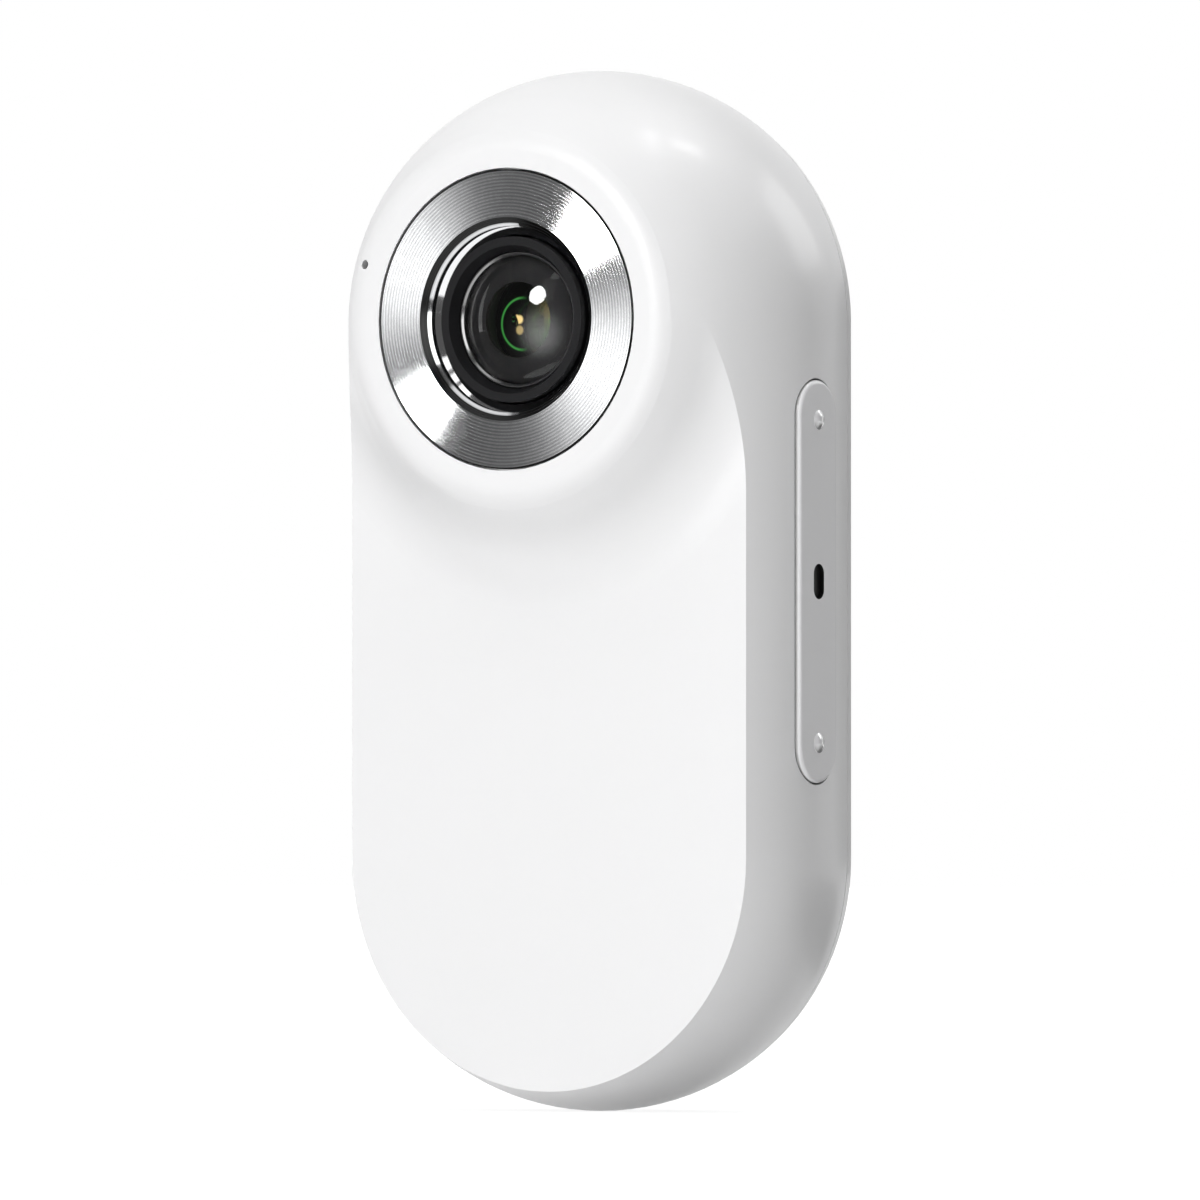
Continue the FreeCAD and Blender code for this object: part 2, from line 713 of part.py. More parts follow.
glass_front = "(retainer_sink + retainer_thickness)"
glass_back = f"({glass_front} + front_glass_edge)"
seat_back = f"({glass_back} + spacer_rim)"
middle_glass_at = f"({glass_back} + front_spacer)"
rear_spacer_at = f"({middle_glass_at} + middle_glass_edge)"
rear_glass_at = f"({rear_spacer_at} + rear_spacer)"
glass_end = f"({rear_glass_at} + rear_glass_edge)"
clear_radius = f"({glass_radius} - spacer_wall)"
lens_barrel = lens_part("lens_barrel", [
    ("barrel_sink", f"{barrel_radius} - barrel_rim"),
    ("barrel_sink + barrel_cone_depth", f"{retainer_radius} + fit_gap"),
    (seat_back, f"{retainer_radius} + fit_gap"),
    (seat_back, f"{glass_radius} + thread_gap"),
    (glass_end, f"{glass_radius} + thread_gap"),
    (glass_end, clear_radius),
    (barrel_end, clear_radius),
    (barrel_end, thread_radius),
    ("barrel_shoulder", thread_radius),
    ("barrel_shoulder", barrel_radius),
    ("barrel_sink", barrel_radius),
])
lens_retainer = lens_part("lens_retainer", [
    ("retainer_sink", f"{retainer_bore} + retainer_cone"),
    ("retainer_sink + retainer_cone", retainer_bore),
    (glass_front, retainer_bore),
    (glass_front, retainer_radius),
    ("retainer_sink + retainer_chamfer", retainer_radius),
    ("retainer_sink", f"{retainer_radius} - retainer_chamfer"),
])
back_curve = f"(({retainer_bore} ^ 2 + front_glass_hollow ^ 2) / (2 * front_glass_hollow))"
front_lens = lens_part("front_lens", [
    (f"{glass_front} - (front_glass_curve - sqrt(front_glass_curve ^ 2 - {retainer_bore} ^ 2))", "0"),
    (glass_front, retainer_bore, "front_glass_curve", "right"),
    (glass_front, retainer_radius),
    (glass_back, retainer_radius),
    (glass_back, retainer_bore),
    (f"{glass_back} - front_glass_hollow", "0", back_curve, "left"),
])


def inner_glass(label, front, back, hollow_side):
    """A glass that swells forward, and is hollow or swells at the back."""
    swell_radius = f"(({clear_radius} ^ 2 + glass_swell ^ 2) / (2 * glass_swell))"
    hollow_radius = f"(({clear_radius} ^ 2 + glass_hollow ^ 2) / (2 * glass_hollow))"
    tail = (f"{back} - glass_hollow", "0", hollow_radius, "left") if hollow_side else (
        f"{back} + glass_swell", "0", swell_radius, "right")
    return lens_part(label, [
        (f"{front} - glass_swell", "0"),
        (front, clear_radius, swell_radius, "right"),
        (front, glass_radius),
        (back, glass_radius),
        (back, clear_radius),
        tail,
    ])


stop_radius = f"({retainer_bore} - stop_width)"
stop_rise = f"(sqrt({back_curve} ^ 2 - {stop_radius} ^ 2) - {back_curve} + front_glass_hollow - stop_gap)"
stop_front = f"({glass_back} - {stop_rise})"
front_lens_spacer = lens_part("front_lens_spacer", [
    (f"{stop_front} + stop_thickness", stop_radius),
    (stop_front, stop_radius),
    (glass_back, retainer_bore, back_curve, "right"),
    (glass_back, retainer_radius),
    (seat_back, retainer_radius),
    (seat_back, glass_radius),
    (middle_glass_at, glass_radius),
    (middle_glass_at, clear_radius),
])
middle_lens = inner_glass("middle_lens", middle_glass_at, rear_spacer_at, True)
rear_lens_spacer = lens_part("rear_lens_spacer", tube_steps(
    rear_spacer_at, rear_glass_at, clear_radius, glass_radius))
rear_lens = inner_glass("rear_lens", rear_glass_at, glass_end, False)

# Lens holder on the sensor board, with the filter and the image sensor in its cavity.

lens_holder = new_body("lens_holder", z=rise)
holder_square = box_outline(holder_width, holder_width)
pushed(lens_holder, "Pad", "XZ_Plane", [holder_square], "holder_base", lift=sensor_board_front)
pushed(lens_holder, "Pad", "XZ_Plane", [circle(f"{thread_radius} + holder_wall")],
       f"{ring_plane} - holder_top - {sensor_board_front}", lift=sensor_board_front)
pushed(lens_holder, "Pocket", "XZ_Plane", [circle(f"{thread_radius} + thread_gap")],
       "body_width", lift=f"{ring_plane} - {barrel_end} - fit_gap")
pushed(lens_holder, "Pocket", "XZ_Plane", [circle("holder_window")], "body_width", lift=sensor_board_front)
pushed(lens_holder, "Pocket", "XZ_Plane", [box_outline("holder_cavity_width", "holder_cavity_width")],
       "holder_cavity_depth", lift=sensor_board_front)
infrared_filter = plate("infrared_filter", "XZ_Plane", [box_outline("filter_width", "filter_width")],
                        "filter_thickness",
                        f"{sensor_board_front} + holder_cavity_depth - filter_thickness", z=rise)
image_sensor = plate("image_sensor", "XZ_Plane", [box_outline("sensor_width", "sensor_width")],
                     "sensor_thickness", sensor_board_front, z=rise)
sensor_board = plate("sensor_board", "XZ_Plane", [box_outline(sensor_board_width, sensor_board_width)],
                     "sensor_board_thickness", sensor_board_back, z=rise)

# Main board and what is soldered to its front.

main_board = plate("main_board", "XZ_Plane",
                   [loop_outline(board_radius)]
                   + [circle("screw_radius + screw_clearance", *place) for place in boss_places],
                   "board_thickness", board_back)


def on_board(label, width, height, depth, across="0", up="0"):
    """A block soldered to the main board's front face."""
    return plate(label, "XZ_Plane", [box_outline(width, height, across, up)], depth, "board_front")


board_connector = on_board("board_connector", "connector_width", "connector_height", "connector_depth",
                           up=f"{rise} - connector_drop")
processor = on_board("processor", "chip_width", "chip_width", "chip_thickness", "chip_across",
                     f"({battery_top} - {memory_down} + memory_width / 2) / 2")
memory_chip = on_board("memory_chip", "memory_width", "memory_width", "memory_thickness",
                       "chip_across", f"-{memory_down}")
radio_shield = on_board("radio_shield", "shield_width", "shield_height", "shield_depth",
                        "-shield_across", f"-({rise} + shield_drop)")
antenna = on_board("antenna", "antenna_width", "antenna_height", "antenna_depth",
                   up=f"-({rise} + {board_radius} - antenna_inset)")

board_screws = new_body("board_screws")
pushed(board_screws, "Pad", "XZ_Plane", [circle("screw_head_radius", *place) for place in boss_places],
       "screw_head_height", lift=f"{board_back} - screw_head_height")
pushed(board_screws, "Pad", "XZ_Plane", [circle("screw_radius", *place) for place in boss_places],
       "screw_length", lift=board_back)

# Battery, its small board, and the strap that runs back to the socket on the main board.

battery_front = f"({shell_front} - battery_tape_thickness)"
battery_middle = f"({battery_front} - battery_thickness / 2)"
battery = plate("battery", "XY_Plane", [soft_box_outline(
    battery_width, "battery_thickness", "battery_edge_round", up=f"-{battery_middle}")],
    battery_height, lift=battery_bottom)
battery_tape = plate("battery_tape", "XZ_Plane", [box_outline(
    f"{battery_width} - 2 * battery_tape_inset", f"{battery_height} - 2 * battery_tape_inset",
    up=f"({battery_top} + {battery_bottom}) / 2")],
    "battery_tape_thickness", battery_front)
strap_up = f"({battery_top} + battery_board_height / 2)"
battery_board = plate("battery_board", "XZ_Plane", [box_outline(
    f"{battery_width} - 2 * battery_board_inset", "battery_board_height", up=strap_up)],
    "battery_board_thickness", f"{battery_middle} - battery_board_thickness / 2")
battery_socket = on_board("battery_socket", "battery_socket_width", "battery_board_height",
                          "battery_socket_depth", "battery_socket_across", strap_up)
battery_strap = plate("battery_strap", "XZ_Plane", [box_outline(
    "battery_strap_width", "battery_strap_thickness", "battery_socket_across", strap_up)],
    f"{battery_middle} - battery_board_thickness / 2 - board_front - battery_socket_depth",
    "board_front + battery_socket_depth")

# Charging socket and memory card on the left side.

usb_socket = new_body("usb_socket")
usb_shape = ("usb_width", "usb_thickness")
usb_place = (f"-{usb_depth}", f"-{usb_down}")
pushed(usb_socket, "Pad", "YZ_Plane", [stadium_outline(*usb_shape, *usb_place)],
       "usb_length", lift=f"-{usb_mouth}")
pushed(usb_socket, "Pocket", "YZ_Plane", [stadium_outline(
    "usb_width - 2 * usb_wall", "usb_thickness - 2 * usb_wall", *usb_place)],
    "usb_length - usb_back_wall", lift=f"-{usb_mouth}")
usb_tongue = plate("usb_tongue", "YZ_Plane",
                   [box_outline("usb_tongue_thickness", "usb_tongue_width", *usb_place)],
                   "usb_tongue_length",
                   lift=f"usb_length - {usb_mouth} - usb_back_wall - usb_tongue_length")

card_socket = new_body("card_socket")
pushed(card_socket, "Pad", "XZ_Plane", [box_outline(
    "card_socket_length", "card_socket_width", f"card_socket_length / 2 - {card_socket_mouth}", card_up)],
    "card_socket_depth", lift="board_front")
pushed(card_socket, "Pocket", "YZ_Plane", [card_slot],
       "card_sink - card_socket_sink + card_length + card_gap", lift=f"-{card_socket_mouth}")
card_low = f"({card_up} - card_width / 2)"
card_high = f"({card_up} + card_width / 2)"
card_inner = f"(card_length - {card_edge})"
memory_card = plate("memory_card", "XZ_Plane", [[
    (f"-{card_edge}", f"{card_low} + card_corner"),
    (f"card_corner - {card_edge}", card_low, "card_corner", "left"),
    (f"{card_inner} - card_step_length - card_slope", card_low),
    (f"{card_inner} - card_step_length", f"{card_low} + card_step"),
    (f"{card_inner} - card_corner", f"{card_low} + card_step"),
    (card_inner, f"{card_low} + card_step + card_corner", "card_corner", "left"),
    (card_inner, f"{card_high} - card_corner"),
    (f"{card_inner} - card_corner", card_high, "card_corner", "left"),
    (f"card_corner - {card_edge}", card_high),
    (f"-{card_edge}", f"{card_high} - card_corner", "card_corner", "left"),
]], "card_thickness", "board_front + card_lift")

# Microphone behind the pinhole: a rubber boot on the mouth, the microphone, and its strap to the main board.

microphone_boot = plate("microphone_boot", "XZ_Plane",
                        [circle("boot_radius", *pinhole_place), circle("boot_bore", *pinhole_place)],
                        "boot_length", lift=f"{mouth_depth} - boot_length")
microphone = plate("microphone", "XZ_Plane",
                   [box_outline("microphone_width", "microphone_height", *pinhole_place)],
                   "microphone_depth", lift=f"{mouth_depth} - boot_length - microphone_depth")
microphone_strap = plate("microphone_strap", "XZ_Plane",
                         [box_outline("strap_thickness", "strap_width", *pinhole_place)],
                         f"{mouth_depth} - boot_length - microphone_depth - board_front", lift="board_front")

# Rocker: a hollow plate with a flange that keeps it in the shell, a hub on a pin across its middle, two posts
# that press the domes, two raised dots and a slot for the dark window.

rocker_button = new_body("rocker_button", y="-axis_to_back", z="rocker_up")
pushed(rocker_button, "Pad", "YZ_Plane", [stadium_outline("rocker_length", "rocker_width")],
       "rocker_proud + flange_depth", lift=flange_inner)
doc.recompute()
rounded(rocker_button, "rocker_edge_round",
        lambda edge: edge.BoundBox.XMin > number(rocker_face) - touching, 1)
pushed(rocker_button, "Pad", "YZ_Plane", [stadium_outline(
    "rocker_length + 2 * flange_step", "rocker_width + 2 * flange_step")],
    "flange_thickness", lift=flange_inner)
skin_inner = f"({rocker_face} - rocker_skin)"
pushed(rocker_button, "Pocket", "YZ_Plane", [stadium_outline(
    "rocker_length - 2 * rocker_side_wall", "rocker_width - 2 * rocker_side_wall")],
    f"{skin_inner} - {flange_inner}", lift=flange_inner)
dot_places = [dot_offset, f"-{dot_offset}"]
pushed(rocker_button, "Pad", "YZ_Plane", [circle("post_radius", up=place) for place in dot_places],
       f"{skin_inner} + fit_gap - {collar_face}", lift=collar_face)
pushed(rocker_button, "Pad", "YZ_Plane", [box_outline("rocker_width", "hub_height")],
       f"{skin_inner} - {collar_face} - hub_gap", lift=f"{collar_face} + hub_gap")
pushed(rocker_button, "Pocket", "XZ_Plane", [circle("pin_radius + pin_clearance", pin_place)],
       "2 * rocker_width", lift="-rocker_width")
pushed(rocker_button, "Pocket", "YZ_Plane", [stadium_outline("slot_length", "slot_width")],
       "body_width", lift=skin_inner)
for place in dot_places:
    turned(rocker_button, "Revolution", [
        (f"{rocker_face} - rocker_skin / 2", "0"),
        (f"{rocker_face} + dot_height", "0"),
        (rocker_face, "dot_radius", "((dot_radius ^ 2 + dot_height ^ 2) / (2 * dot_height))", "left"),
        (f"{rocker_face} - rocker_skin / 2", "dot_radius"),
    ], up=place, plane="XZ_Plane")
rocker_window = side_plate("rocker_window", [stadium_outline(
    "slot_length - 2 * fit_gap", "slot_width - 2 * fit_gap")], skin_inner, "rocker_skin - window_sink")
rocker_pin = plate("rocker_pin", "XZ_Plane", [circle("pin_radius", pin_place, "rocker_up")],
                   pin_length, lift=f"axis_to_back - {pin_length} / 2")

# Behind the rocker: the seal's sheet with a nub under each post, the bracket that clamps it, the button board
# with its two snap domes and status light, and two screws into the collar's ears.

seal_inner = f"({collar_face} - seal_sheet)"
board_outer = f"({seal_inner} - bracket_thickness)"
button_seal = new_body("button_seal", y="-axis_to_back", z="rocker_up")
pushed(button_seal, "Pad", "YZ_Plane", [stadium_outline(
    f"{chamber_length} + 2 * seal_margin", f"{chamber_width} + 2 * seal_margin")],
    "seal_sheet", lift=seal_inner)
pushed(button_seal, "Pad", "YZ_Plane", [circle("seal_nub_radius", up=place) for place in dot_places],
       f"{seal_inner} - {board_outer} - dome_height + seal_sheet / 2", lift=f"{board_outer} + dome_height")
screw_holes = [circle("screw_radius + screw_clearance", up=place) for place in rocker_ends]
button_bracket = side_plate("button_bracket", [
    box_outline(f"{chamber_width} + 2 * seal_margin + 2 * bracket_side", bracket_length),
    stadium_outline("rocker_length - 2 * bracket_window_inset", "rocker_width - 2 * bracket_window_inset"),
] + screw_holes, board_outer, "bracket_thickness")
button_board = side_plate("button_board", [box_outline(chamber_width, bracket_length)] + screw_holes,
                          f"{board_outer} - button_board_thickness", "button_board_thickness")
status_light = side_plate("status_light", [box_outline("light_width", "light_width")],
                          board_outer, "light_depth")
for label, place in zip(("upper_snap_dome", "lower_snap_dome"), dot_places):
    dome = new_body(label, x=board_outer, y="-axis_to_back", z=f"rocker_up + {place}")
    hollow = "(dome_height - dome_sheet)"
    under = "(dome_radius - dome_rim)"
    turned(dome, "Revolution", [
        ("0", "dome_radius"),
        ("0", under),
        (hollow, "0", f"(({under} ^ 2 + {hollow} ^ 2) / (2 * {hollow}))", "right"),
        ("dome_height", "0"),
        ("0", "dome_radius", "((dome_radius ^ 2 + dome_height ^ 2) / (2 * dome_height))", "left"),
    ], plane="XZ_Plane")
button_screws = new_body("button_screws", y="-axis_to_back", z="rocker_up")
head_outer = f"({board_outer} - button_board_thickness)"
pushed(button_screws, "Pad", "YZ_Plane", [circle("screw_head_radius", up=place) for place in rocker_ends],
       "screw_head_height", lift=f"{head_outer} - screw_head_height")
pushed(button_screws, "Pad", "YZ_Plane", [circle("screw_radius", up=place) for place in rocker_ends],
       "button_screw_length", lift=head_outer)

doc.recompute()

# Every object has to be sound before anything is written.
for item in doc.Objects:
    if "Invalid" in item.State or "Error" in item.State:
        raise RuntimeError(f"{item.Name} failed: {item.State}")

nodes = [
    "front_shell", "back_cover", "cover_seal", "back_magnets", "lens_trim_ring", "ring_tape", "lens_bezel",
    "lens_barrel", "lens_retainer", "front_lens", "front_lens_spacer", "middle_lens", "rear_lens_spacer",
    "rear_lens", "lens_holder", "infrared_filter", "image_sensor", "sensor_board", "board_connector",
    "main_board", "processor", "memory_chip", "radio_shield", "antenna", "board_screws", "battery",
    "battery_tape", "battery_board", "battery_socket", "battery_strap", "usb_socket", "usb_tongue",
    "card_socket", "memory_card", "microphone_boot", "microphone", "microphone_strap", "rocker_button",
    "rocker_window", "rocker_pin", "button_seal", "button_bracket", "button_board", "status_light",
    "upper_snap_dome", "lower_snap_dome", "button_screws",
]
for node in nodes:
    shape = doc.getObjectsByLabel(node)[0].Shape
    if shape.isNull() or not shape.isValid():
        raise RuntimeError(f"{node} has no valid shape")
    shape.exportStep(f"parts/{node}.step")
    print(node, len(shape.Solids), round(shape.Volume, 3))
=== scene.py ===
from math import cos, pi, radians, sin

import bpy
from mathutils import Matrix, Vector


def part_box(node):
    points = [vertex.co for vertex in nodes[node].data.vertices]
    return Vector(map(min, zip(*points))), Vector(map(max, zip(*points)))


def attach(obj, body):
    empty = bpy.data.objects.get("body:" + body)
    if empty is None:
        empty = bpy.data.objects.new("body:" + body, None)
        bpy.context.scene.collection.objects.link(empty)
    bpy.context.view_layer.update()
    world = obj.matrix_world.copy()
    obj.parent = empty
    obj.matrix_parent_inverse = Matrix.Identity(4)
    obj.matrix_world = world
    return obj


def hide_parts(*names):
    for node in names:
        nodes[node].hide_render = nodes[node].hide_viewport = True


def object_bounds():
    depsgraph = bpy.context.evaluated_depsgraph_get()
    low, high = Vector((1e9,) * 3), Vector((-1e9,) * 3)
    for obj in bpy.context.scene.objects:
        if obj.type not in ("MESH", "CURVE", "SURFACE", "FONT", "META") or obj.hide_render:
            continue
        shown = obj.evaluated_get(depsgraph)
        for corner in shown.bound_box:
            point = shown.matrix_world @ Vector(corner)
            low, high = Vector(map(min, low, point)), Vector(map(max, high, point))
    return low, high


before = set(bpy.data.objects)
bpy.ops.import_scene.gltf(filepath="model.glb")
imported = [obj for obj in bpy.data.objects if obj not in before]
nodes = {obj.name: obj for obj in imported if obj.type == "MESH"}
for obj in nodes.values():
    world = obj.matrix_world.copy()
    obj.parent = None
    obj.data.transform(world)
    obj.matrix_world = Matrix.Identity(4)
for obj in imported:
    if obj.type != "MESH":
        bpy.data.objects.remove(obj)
cadLow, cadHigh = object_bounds()
print("frame:", len(nodes), "nodes")


# Node trees. A Signal is one output, and arithmetic on it adds Math nodes.

class Signal:
    def __init__(self, tree, socket):
        self.tree = tree
        self.socket = socket

    def worked(self, operation, first, second=None):
        values = {0: first} if second is None else {0: first, 1: second}
        return self.tree.add("ShaderNodeMath", {"operation": operation}, values)

    def __add__(self, other):
        return self.worked("ADD", self, other)

    def __sub__(self, other):
        return self.worked("SUBTRACT", self, other)

    def __rsub__(self, other):
        return self.worked("SUBTRACT", other, self)

    def __mul__(self, other):
        return self.worked("MULTIPLY", self, other)

    def __truediv__(self, other):
        return self.worked("DIVIDE", self, other)

    def __gt__(self, other):
        return self.worked("GREATER_THAN", self, other)

    def __lt__(self, other):
        return self.worked("LESS_THAN", self, other)

    def sine(self):
        return self.worked("SINE", self)

    def cosine(self):
        return self.worked("COSINE", self)

    def floor(self):
        return self.worked("FLOOR", self)

    def size(self):
        return self.worked("ABSOLUTE", self)

    def root(self):
        return self.worked("SQRT", self)

    def atLeast(self, other):
        return self.worked("MAXIMUM", self, other)

    def atMost(self, other):
        return self.worked("MINIMUM", self, other)

    def share(self):
        return self.atLeast(0).atMost(1)


class Tree:
    def __init__(self, owner):
        self.owner = owner
        self.nodes = owner.nodes

    def add(self, kind, settings=None, values=None, output=0):
        node = self.nodes.new(kind)
        for name, value in (settings or {}).items():
            setattr(node, name, value)
        for name, value in (values or {}).items():
            socket = node.inputs[name]
            if isinstance(value, Signal):
                self.owner.links.new(value.socket, socket)
            else:
                socket.default_value = value
        return Signal(self, node.outputs[output]) if node.outputs else node

    def place(self):
        return self.add("ShaderNodeTexCoord", output="Object")

    def axis(self, name):
        return self.add("ShaderNodeSeparateXYZ", {}, {0: self.place()}, output=name)

    def vector(self, operation, first, second=None, output=0):
        values = {0: first} if second is None else {0: first, 1: second}
        return self.add("ShaderNodeVectorMath", {"operation": operation}, values, output)

    def noise(self, size, detail=2.0, stretch=(1, 1, 1)):
        at = self.add("ShaderNodeMapping", {}, {"Vector": self.place(), "Scale": stretch})
        return self.add("ShaderNodeTexNoise", {}, {"Vector": at, "Scale": 1 / size, "Detail": detail})

    def distance(self, centre, along):
        # how far a point is from a line through centre that runs along one of the axes
        moved = self.vector("SUBTRACT", self.place(), centre)
        first, second = [self.add("ShaderNodeSeparateXYZ", {}, {0: moved}, output=axis)
                         for axis in "XYZ" if axis != along]
        return (first * first + second * second).root()

    def between(self, amount, first, second):
        return self.add("ShaderNodeMix", {"data_type": "RGBA"}, {0: amount, 6: first, 7: second}, output=2)

    def bump(self, height, depth):
        return self.add("ShaderNodeBump", {}, {"Height": height, "Distance": depth})


class Growth(Tree):
    # A Geometry Nodes tree with a named input for each of its sizes.
    def __init__(self, name, sizes):
        self.group = bpy.data.node_groups.new(name, "GeometryNodeTree")
        super().__init__(self.group)
        self.name = name
        self.sizes = sizes
        for label, value in sizes.items():
            kind = "NodeSocketInt" if isinstance(value, int) else "NodeSocketFloat"
            self.group.interface.new_socket(label, in_out="INPUT", socket_type=kind)
        self.group.interface.new_socket("Geometry", in_out="OUTPUT", socket_type="NodeSocketGeometry")
        given = self.nodes.new("NodeGroupInput")
        self.given = {label: Signal(self, given.outputs[label]) for label in sizes}

    def grow(self, shape, material):
        solid = self.add("GeometryNodeRealizeInstances", {}, {"Geometry": shape})
        painted = self.add("GeometryNodeSetMaterial", {}, {"Geometry": solid, "Material": material})
        self.add("NodeGroupOutput", {}, {"Geometry": painted})
        piece = bpy.data.objects.new(self.name, bpy.data.meshes.new(self.name))
        bpy.context.scene.collection.objects.link(piece)
        modifier = piece.modifiers.new("growth", "NODES")
        modifier.node_group = self.group
        for item in self.group.interface.items_tree:
            if item.in_out == "INPUT":
                modifier[item.identifier] = self.sizes[item.name]
        shaped = piece.evaluated_get(bpy.context.evaluated_depsgraph_get())
        mesh = bpy.data.meshes.new_from_object(shaped)
        piece.modifiers.clear()
        piece.data = mesh
        return piece


# Finishes

def colour(red, green=None, blue=None):
    return (red, red if green is None else green, red if blue is None else blue, 1)


def finish(name, base, roughness, metal=0.0, **constant):
    # A material: one Principled shader. The other sockets are named with underscores for spaces.
    material = bpy.data.materials.new(name)
    material.use_nodes = True
    tree = Tree(material.node_tree)
    shader = material.node_tree.nodes["Principled BSDF"]
    shader.inputs["Base Color"].default_value = base
    shader.inputs["Roughness"].default_value = roughness
    shader.inputs["Metallic"].default_value = metal
    for socket, value in constant.items():
        shader.inputs[socket.replace("_", " ")].default_value = value
    material.diffuse_color = base
    return material, tree, shader


def feed(tree, shader, **signals):
    for socket, signal in signals.items():
        tree.owner.links.new(signal.socket, shader.inputs[socket.replace("_", " ")])


def grained(name, look):
    # a finish whose roughness wavers over a fine grain; it may be stretched one way, or have a bump
    material, tree, shader = finish(name, look["base"], look["smoothest"], look.get("metal", 0.0),
                                    Specular_IOR_Level=look.get("specular", 0.5))
    waver = tree.noise(look["grain"], stretch=look.get("stretch", (1, 1, 1)))
    feed(tree, shader, Roughness=waver * look["spread"] + look["smoothest"])
    if "bumpDepth" in look:
        feed(tree, shader, Normal=tree.bump(tree.noise(look["bumpSize"]), look["bumpDepth"]))
    return material


def dress(material, *names):
    for name in names:
        nodes[name].data.materials.clear()
        nodes[name].data.materials.append(material)


# Housing

housing = {
    "white": colour(0.90, 0.90, 0.905),
    "roughness": 0.38,
    "specular": 0.3,
    "coat": 0.22,
    "coatRoughness": 0.12,
    "handledSize": 0.006,  # hands leave its roughness a little uneven
    "handledSpread": 0.06,
    "peelSize": 0.0011,
    "peelDepth": 0.0000012,
    "lipFront": -0.0172,  # the lip lies before this, and is left without the coat
    "lipFade": 0.0015,
}


def shellWhite():
    material, tree, shader = finish(
        "shellWhite", housing["white"], housing["roughness"], Coat_Weight=housing["coat"],
        Coat_Roughness=housing["coatRoughness"], Specular_IOR_Level=housing["specular"])
    handled = tree.noise(housing["handledSize"], detail=3) * housing["handledSpread"]
    peel = tree.noise(housing["peelSize"], detail=1)
    offLip = ((tree.axis("Y") - housing["lipFront"]) / housing["lipFade"]).share()
    feed(tree, shader, Roughness=handled + (housing["roughness"] - housing["handledSpread"] / 2),
         Coat_Weight=offLip * housing["coat"], Normal=tree.bump(peel, housing["peelDepth"]))
    return material


sealRubber = {"base": colour(0.03), "smoothest": 0.6, "spread": 0.2, "grain": 0.0004}
magnetNickel = {
    "base": colour(0.62, 0.60, 0.56), "metal": 1.0, "smoothest": 0.12, "spread": 0.15, "grain": 0.0008}
dress(shellWhite(), "front_shell", "back_cover")
dress(grained("sealRubber", sealRubber), "cover_seal", "microphone_boot", "battery_tape", "ring_tape")
dress(grained("magnetNickel", magnetNickel), "back_magnets")
print("housing dressed")


# Lens ring. It and the lens turn about one axis, read from the ring's box.

ringLow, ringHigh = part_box("lens_trim_ring")
lensAxis = (ringLow + ringHigh) / 2
ring = {
    "outer": (ringHigh.x - ringLow.x) / 2,
    "front": ringLow.y,
    "thickness": ringHigh.y - ringLow.y,
    "faceInner": 0.0070,
    "bore": 0.0064,
    "bevelDepth": 0.00055,
    "edgeChamfer": 0.00008,
    "grooves": 46,  # turning marks from the outer edge to the bevel
    "grooveDepth": 0.0000078,
    "groovePoints": 6,
    "around": 180,
    "weldGap": 0.0000005,
    "crispAngle": 0.5,  # an edge that turns more than this stays sharp
    "steel": colour(0.76, 0.765, 0.775),
    "darkLine": colour(0.44, 0.445, 0.455),
    "linePitch": 0.00023,
    "lineShare": 0.6,  # the rest of the streaks' tone is wear
    "wornSize": 0.0009,
    "roughness": 0.11,
    "lineSpread": 0.04,
    # a dark tone painted on the bevel; on the bevel's right side and on the outer rim by the gap it is
    # painted shade
    "paintedDark": colour(0.03),
    "blackInner": 0.00662,  # the bevel is painted dark down to here, and all the way down on its right side, where the dark is painted shade
    "shadedSideFrom": 0.0008,  # the right side, with its painted shade, begins here, from the axis
    # the outer rim is painted dark this wide, painted shade at the gap
    "rimShade": 0.000112,
    "blackSpread": 0.15,
}


def spunSteel():
    # the turning marks are in the mesh, their coarser lines in the colour; the bevel is painted dark, and its
    # right side and the outer rim are painted shade
    material, tree, shader = finish("spunSteel", ring["steel"], ring["roughness"], metal=1.0)
    out = tree.distance(lensAxis, "Y")
    line = (out * (2 * pi / ring["linePitch"])).sine() * 0.5 + 0.5
    worn = tree.noise(ring["wornSize"], detail=3)
    streak = line * ring["lineShare"] + worn * (1 - ring["lineShare"])
    turned = tree.between(streak, ring["darkLine"], ring["steel"])
    # painted shade: the bevel's right side and the ring's outer rim are painted dark
    right = tree.axis("X") > lensAxis.x + ring["shadedSideFrom"]
    rim = out > ring["outer"] - ring["rimShade"]
    bevel = (out < ring["faceInner"]) * ((out > ring["blackInner"]) + right).atMost(1)
    black = (bevel + rim).atMost(1)
    roughness = line * ring["lineSpread"] + (ring["roughness"] - ring["lineSpread"] / 2)
    feed(tree, shader, Base_Color=tree.between(black, turned, ring["paintedDark"]),
         Roughness=roughness + black * ring["blackSpread"])
    return material


